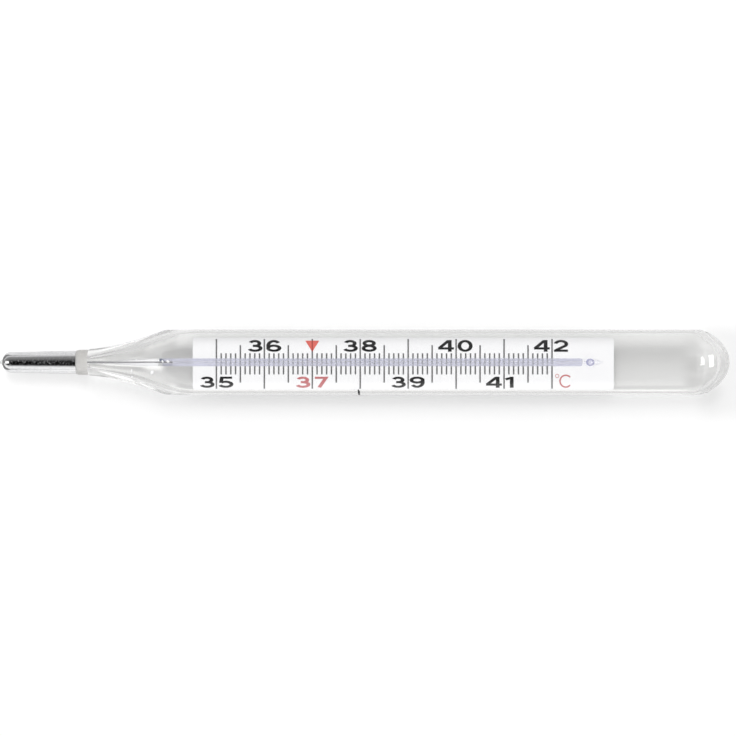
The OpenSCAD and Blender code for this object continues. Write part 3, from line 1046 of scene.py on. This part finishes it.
def makeSigns():
    strokes = numeralStrokes()
    cell = signs["cell"] * signs["width"] * mm
    black, red = bmesh.new(), bmesh.new()
    for step in range(lines["degrees"] + 1):
        number = signs["firstNumber"] + step
        tens, units = str(number)
        x = firstX + step * degree
        if number > signs["redNumber"]:
            x += signs["laterNudge"] * mm
        side = "upper" if number % 2 == 0 else "lower"
        y, height = plateMidY + signs[side + "Row"] * mm, signs[side + "Height"]
        ink = red if number == signs["redNumber"] else black
        addNumeral(ink, strokes[tens], x - signs["leftGap"] * mm - cell, y, height)
        addNumeral(ink, strokes[units], x + signs["rightGap"] * mm, y, height)

    def unitPlate(point):
        return lastX + point.x * mm, plateMidY + point.y * mm

    radius, ring = signs["unitRadius"], signs["ringRadius"]
    unit = arc(*signs["unitPlace"], radius, radius, *signs["unitTurn"])
    addStroke(red, unit, signs["unitPen"], unitPlate)
    addStroke(red, loop(*signs["ringPlace"], ring, ring), signs["ringPen"], unitPlate)
    inkPiece("blackNumerals", black, blackInk)
    inkPiece("redNumerals", red, paleRedInk)


makeSigns()


# pointer at normal body heat: red over the line, which shows through it darkly
def makePointer():
    x = firstX + (signs["redNumber"] - signs["firstNumber"]) * degree
    top = plateMidY + signs["pointerTop"] * mm
    tip = plateMidY + signs["pointerTip"] * mm
    half = signs["pointerWidth"] * mm / 2
    line = signs["coveredLine"] * mm / 2
    reach = tip + (top - tip) * line / half
    shapes = [
        (0, [(x - half, top), (x - line, reach), (x - line, top)]),
        (0, [(x + line, top), (x + line, reach), (x + half, top)]),
        (1, [(x - line, top), (x - line, reach), (x, tip), (x + line, reach), (x + line, top)]),
    ]
    bm = bmesh.new()
    for number, shape in shapes:
        low, high = ringAt(bm, shape, inkLow), ringAt(bm, shape, inkHigh + signs["pointerLift"] * mm)
        faces = [bm.faces.new(low[::-1]), bm.faces.new(high)] + bridge(bm, [low, high])
        for face in faces:
            face.material_index = number
    flatPiece("heatPointer", bm, "black_ink", redInk, coveredInk)


makePointer()


# short hand-drawn stroke on the outside of the sheath, level with a line of the scale
check = {
    "number": 38, "width": 0.24, "height": 0.02, "from": 143.0, "to": 196.0, "lean": (-0.33, -0.08),
    "count": 14,
}


def makeCheckStroke():
    x = firstX + (check["number"] - signs["firstNumber"]) * degree
    half = check["width"] * mm / 2
    power = trueOval / sheath["fullness"]
    bm = bmesh.new()
    rings = []
    for t in steps(check["count"]):
        a = radians(mix(check["from"], check["to"], t))
        c, s = cos(a), sin(a)
        middle = x + mix(*check["lean"], t) * mm

        def swell(share):
            return copysign(abs(c) ** share, c), copysign(abs(s) ** share, s)

        across, up = swell(power)
        spot = Vector((0, across * halfWidth, up * halfDepth))
        across, up = swell(2 - power)
        out = Vector((0, across / halfWidth, up / halfDepth))
        outer = spot + out.normalized() * check["height"] * mm
        ring = []
        for point, sideX in ((spot, -half), (spot, half), (outer, half), (outer, -half)):
            ring.append(bm.verts.new((middle + sideX, point.y, axisZ + point.z)))
        rings.append(ring)
    bridge(bm, rings)
    bm.faces.new(rings[0])
    bm.faces.new(rings[-1][::-1])
    flatPiece("checkStroke", bm, "black_ink", blackInk)


makeCheckStroke()
print("numerals and marks made")


# CAD nodes that keep their shape
for node, material in (
        ("scale_plate", opalWhite), ("enamel_strip", lilacEnamel), ("constriction_pin", bulbGlass)):
    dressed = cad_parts[node].data.materials
    dressed.clear()
    dressed.append(material)


# studio: pale floor, soft lamps and a world that gives the reflections

studio = {
    "floorColor": 0.62, "darkColor": 0.2, "seenLift": 0.335, "floorSize": 3.0, "floorDrop": 0.02,
    "ambient": 0.80, "keyPower": 2.8, "keySize": (0.45, 0.45), "keyPlace": (0.0, 0.45, 0.64),
    "endPower": 0.9, "endSize": (0.16, 0.18), "endPlace": (0.55, 0.03, 0.5),
}
# painted light: glow added to the floor as glass shows it, by distance from the axis in mm on the -Y and the +Y
# side, each zone with the span along the object over which it sets in
liftReach = 20.0
liftZones = [
    (None,
     [(0, 0.12), (1.6, 0.15), (3.2, 0.19), (4.2, 0.26), (4.7, 0.14), (5.3, 0.2), (5.8, 0.58), (6.4, 0.58),
      (7.3, 0.28), (9, 0.1), (10.4, 0.04)],
     [(0, 0.11), (1.5, 0.09), (2.4, 0.14), (3.3, 0.25), (4.0, 0.2), (4.7, 0.16), (6.2, 0.17), (7.2, 0.12),
      (9, 0.03)]),
    ((54.0, 56.5),
     [(0, 0.05), (1.2, 0.04), (2.2, 0.11), (3.4, 0.06), (4.4, 0.08), (5.6, 0.3), (7, 0.3), (9.5, 0.05)],
     [(0, 0.07), (0.8, 0.1), (1.4, 0.18), (3.4, 0.22), (4.5, 0.12), (9, 0.05)]),
    ((59.2, 60.6),
     [(0, 0), (4.5, 0), (6, 0.05), (9.5, 0)], [(0, 0), (1.2, 0.05), (3.2, 0.13), (5.5, 0.05)]),
    ((63.5, 65.5), [(0, 0.13), (5, 0.1)], [(0, 0.13), (5, 0.1)]),
    ((-29.0, -31.0),
     [(0, 0), (1.2, 0.02), (2.0, 0.07), (3.0, 0.09), (4.0, 0.15), (4.7, 0.08), (5.3, 0.16), (5.7, 0.5),
      (6.3, 0.48), (7.2, 0.15), (8.5, 0.02)],
     [(0, 0), (2.3, 0.03), (2.9, 0.18), (3.4, 0.27), (4.5, 0.23), (7.2, 0.2), (9.3, 0.06), (10.8, 0)]),
    ((-32.0, -33.5),
     [(0, 0), (1.3, 0), (2.6, 0.14), (4.0, 0.18), (5.6, 0.42), (7.0, 0.42), (8.5, 0.05)],
     [(0, 0), (2.0, 0), (2.6, 0.1), (4.6, 0.15), (9, 0.08)]),
    ((-34.0, -35.5),
     [(0, 0.3), (0.4, 0.5), (1.2, 0.5), (1.8, 0.25), (2.4, 0.18), (3.4, 0.25), (4.6, 0.27), (5.8, 0.28),
      (8, 0.05)],
     [(0, 0.02), (1.5, 0.03), (2.2, 0.12), (4.0, 0.17), (6, 0.05)]),
    ((-37.2, -39.2),
     [(0, 0.3), (0.2, 0.5), (0.9, 0.5), (1.2, 0.1), (1.5, 0.02), (2.1, 0.04), (2.6, 0.2), (3.2, 0.3),
      (4.6, 0.3), (5.6, 0.15), (7, 0)],
     [(0, 0.08), (0.5, 0.14), (0.9, 0.1), (1.4, 0.06), (2.2, 0)]),
    ((-44.5, -46.0),
     [(0, 0.12), (0.2, 0.4), (0.7, 0.4), (1.0, 0.03), (1.9, 0.02), (2.4, 0.2), (3.0, 0.28), (5, 0.15),
      (7, 0)],
     [(0, 0.08), (0.5, 0.2), (0.9, 0.3), (1.4, 0.2), (2.2, 0)]),
    ((-48.0, -50.0),
     [(0, 0.3), (2.5, 0.4), (5, 0.42), (6.6, 0.26), (9, 0.28), (13, 0.33), (19, 0.45)],
     [(0, 0.2), (2.2, 0.3), (3.4, 0.32), (4.6, 0.26), (6.6, 0.14), (8.8, 0.08), (16.8, 0.2)]),
]
# painted shade and dark reflections: patches of darker ground for glass and mercury; and painted light and shade
# on the floor for the eye, lighter in the bulb's shadow, darker round the dome and brighter far out: how much,
# and the edges that bound it, each from nothing to full, in mm along X, Y or out from the middle R
darkGround = [
    (1.0, [("X", -63.2, -65.0)]),
    (0.3, [("X", -42.5, -44.5), ("X", -49.0, -47.5), ("Y", 2.0, 3.0), ("Y", 5.5, 4.5)]),
    (0.25, [("X", -40.8, -42.5), ("X", -49.0, -47.5), ("Y", -5.5, -7.0)]),
]
seenGround = [
    (0.12, [("X", -45.0, -50.5), ("Y", 13, 8), ("Y", -13, -8)]),
    (-0.12, [("X", 56.0, 60.5), ("X", 70.0, 64.0), ("Y", 8, 4), ("Y", -12, -7)]),
    (0.5, [("R", 80, 160)]),
]
# what a reflection meets from the -Y horizon over the top to the +Y horizon, in degrees and brightness
skyline = [
    (-90, 1.0), (-69, 1.08), (-60, 1.0), (-52, 0.85), (-43, 0.4), (-36, 0.08), (-30, 0.02), (-12, 0.0),
    (5, 0.01), (20, 0.07), (33, 0.17), (45, 0.22), (55, 0.25), (62, 0.28), (68, 0.36), (76, 0.58),
    (84, 0.78), (90, 0.88),
]
# brighter parts of the sky: how bright, and the edges that bound each, by the part of the direction that
# goes along X and across
skyWindows = [
    (1.0, [("X", 0.22, 0.42)]),
    (1.3, [("X", -0.24, -0.30), ("X", -0.96, -0.90), ("across", 0.30, 0.20)]),
]


# joins patches to a level of light, each bounded by its edges
def addPatches(tree, along, patches, unit, operation, level):
    for amount, edges in patches:
        for axis, low, high in edges:
            edge = tree.span(along[axis], low * unit, high * unit, kind="SMOOTHSTEP")
            amount = tree.math("MULTIPLY", edge, amount)
        level = tree.math(operation, level, amount)
    return level


def addRamp(tree, value, stops):
    ramp = tree.shade("ValToRGB", {0: value})
    marks = ramp.color_ramp.elements
    marks.remove(marks[1])
    for number, (at, level) in enumerate(stops):
        mark = marks[0] if number == 0 else marks.new(at)
        mark.position = at
        mark.color = (level, level, level, 1)
    return ramp


# light that glass and mercury show
def inGlassRay(tree, path):
    return tree.math("MAXIMUM", path["Is Glossy Ray"], path["Is Transmission Ray"])


def floorMaterial():
    material, tree, shader = newMaterial("paleFloor")
    path = tree.path()
    coords = tree.coords()
    place = tree.axes(coords)
    out = tree.shade("VectorMath", {0: coords}, operation="LENGTH")
    along = {"X": place["X"], "Y": place["Y"], "R": out.outputs["Value"]}

    def lifted(sign, stops):
        reach = tree.math("MULTIPLY", place["Y"], sign / liftReach / mm)
        return addRamp(tree, reach, [(at / liftReach, level) for at, level in stops])

    nearer = tree.math("LESS_THAN", place["Y"], 0.0)
    level = None
    for span, left, right in liftZones:
        zone = tree.mix("FLOAT", nearer, lifted(1, right), lifted(-1, left))
        if span is not None:
            begun = tree.span(place["X"], span[0] * mm, span[1] * mm, kind="SMOOTHSTEP")
            zone = tree.mix("FLOAT", begun, level, zone)
        level = zone
    inGlass = inGlassRay(tree, path)
    # painted shade: the floor turns dark where glass and mercury see these patches
    dark = addPatches(tree, along, darkGround, mm, "MAXIMUM", 0.0)
    dark = tree.math("MULTIPLY", dark, inGlass)
    tones = [(*[studio[key]] * 3, 1) for key in ("floorColor", "darkColor")]
    lift = tree.math("MULTIPLY", inGlass, tree.math("SUBTRACT", 1.0, dark))
    lift = tree.math("MULTIPLY", lift, level)
    # painted light and shade: patches added to the floor's lift where the eye sees it
    seen = addPatches(tree, along, seenGround, mm, "ADD", studio["seenLift"])
    seen = tree.math("MULTIPLY", path["Is Camera Ray"], seen)
    tree.feed(shader, {
        "Base Color": tree.mix("RGBA", dark, *tones), "Roughness": 1.0, "Specular IOR Level": 0.0,
        "Emission Color": (1, 1, 1, 1), "Emission Strength": tree.math("MAXIMUM", seen, lift),
    })
    return material


def makeFloor():
    half = studio["floorSize"] / 2
    mesh = bpy.data.meshes.new("paleFloor")
    corners = [(-half, -half, 0), (half, -half, 0), (half, half, 0), (-half, half, 0)]
    mesh.from_pydata(corners, [], [(0, 1, 2, 3)])
    mesh.materials.append(floorMaterial())
    floor = addObject("paleFloor", mesh)
    floor.location.z = -studio["floorDrop"] * mm


def addLamp(name, inReflections):
    lamp = bpy.data.lights.new(name + "Lamp", "AREA")
    lamp.energy = studio[name + "Power"]
    lamp.shape = "RECTANGLE"
    lamp.size, lamp.size_y = studio[name + "Size"]
    holder = addObject(name + "Lamp", lamp)
    holder.location = studio[name + "Place"]
    holder.rotation_euler = (-holder.location).to_track_quat("-Z", "Y").to_euler()
    holder.visible_camera = False
    holder.visible_diffuse = not inReflections
    holder.visible_glossy = holder.visible_transmission = inReflections


def makeWorld():
    world = bpy.data.worlds.new("studioWorld")
    world.use_nodes = True
    scene.world = world
    world.cycles.sampling_method = "NONE"  # its light reaches surfaces by their own bounces alone
    tree = Tree(world.node_tree)
    way = tree.axes(tree.shade("TexCoord").outputs["Generated"])
    # reflections follow the skyline across, and meet brighter parts of the sky
    lean = tree.math("ARCTAN2", way["Y"], way["Z"])
    turn = tree.math("ADD", tree.math("DIVIDE", lean, pi), 0.5)
    sky = addRamp(tree, turn, [(degrees / 180 + 0.5, level) for degrees, level in skyline])
    along = {"X": way["X"], "across": tree.math("ABSOLUTE", way["Y"])}
    sky = addPatches(tree, along, skyWindows, 1, "MAXIMUM", sky)
    strength = tree.mix("FLOAT", inGlassRay(tree, tree.path()), studio["ambient"], sky)
    tree.feed(tree.data.nodes["Background"], {"Color": (1, 1, 1, 1), "Strength": strength})


makeFloor()
makeWorld()
addLamp("key", False)
addLamp("end", True)


# camera straight above, framed as in the photograph

camera = {"pixelsPerMm": 5.836, "pixels": 736, "tipPixel": 2.3, "axisPixel": 362.3, "distance": 490.0}


def makeCamera():
    data = bpy.data.cameras.new("topCamera")
    data.lens = data.sensor_width * camera["distance"] * camera["pixelsPerMm"] / camera["pixels"]
    data.clip_start, data.clip_end = 0.01, 10
    holder = addObject("topCamera", data)
    middle = camera["pixels"] / 2
    tip = bulbLow.x + bulb["nibLength"] * mm
    x = tip + (middle - camera["tipPixel"]) / camera["pixelsPerMm"] * mm
    y = -(middle - camera["axisPixel"]) / camera["pixelsPerMm"] * mm
    holder.location = (x, y, axisZ + camera["distance"] * mm)
    scene.camera = holder


makeCamera()
print("studio and camera set")
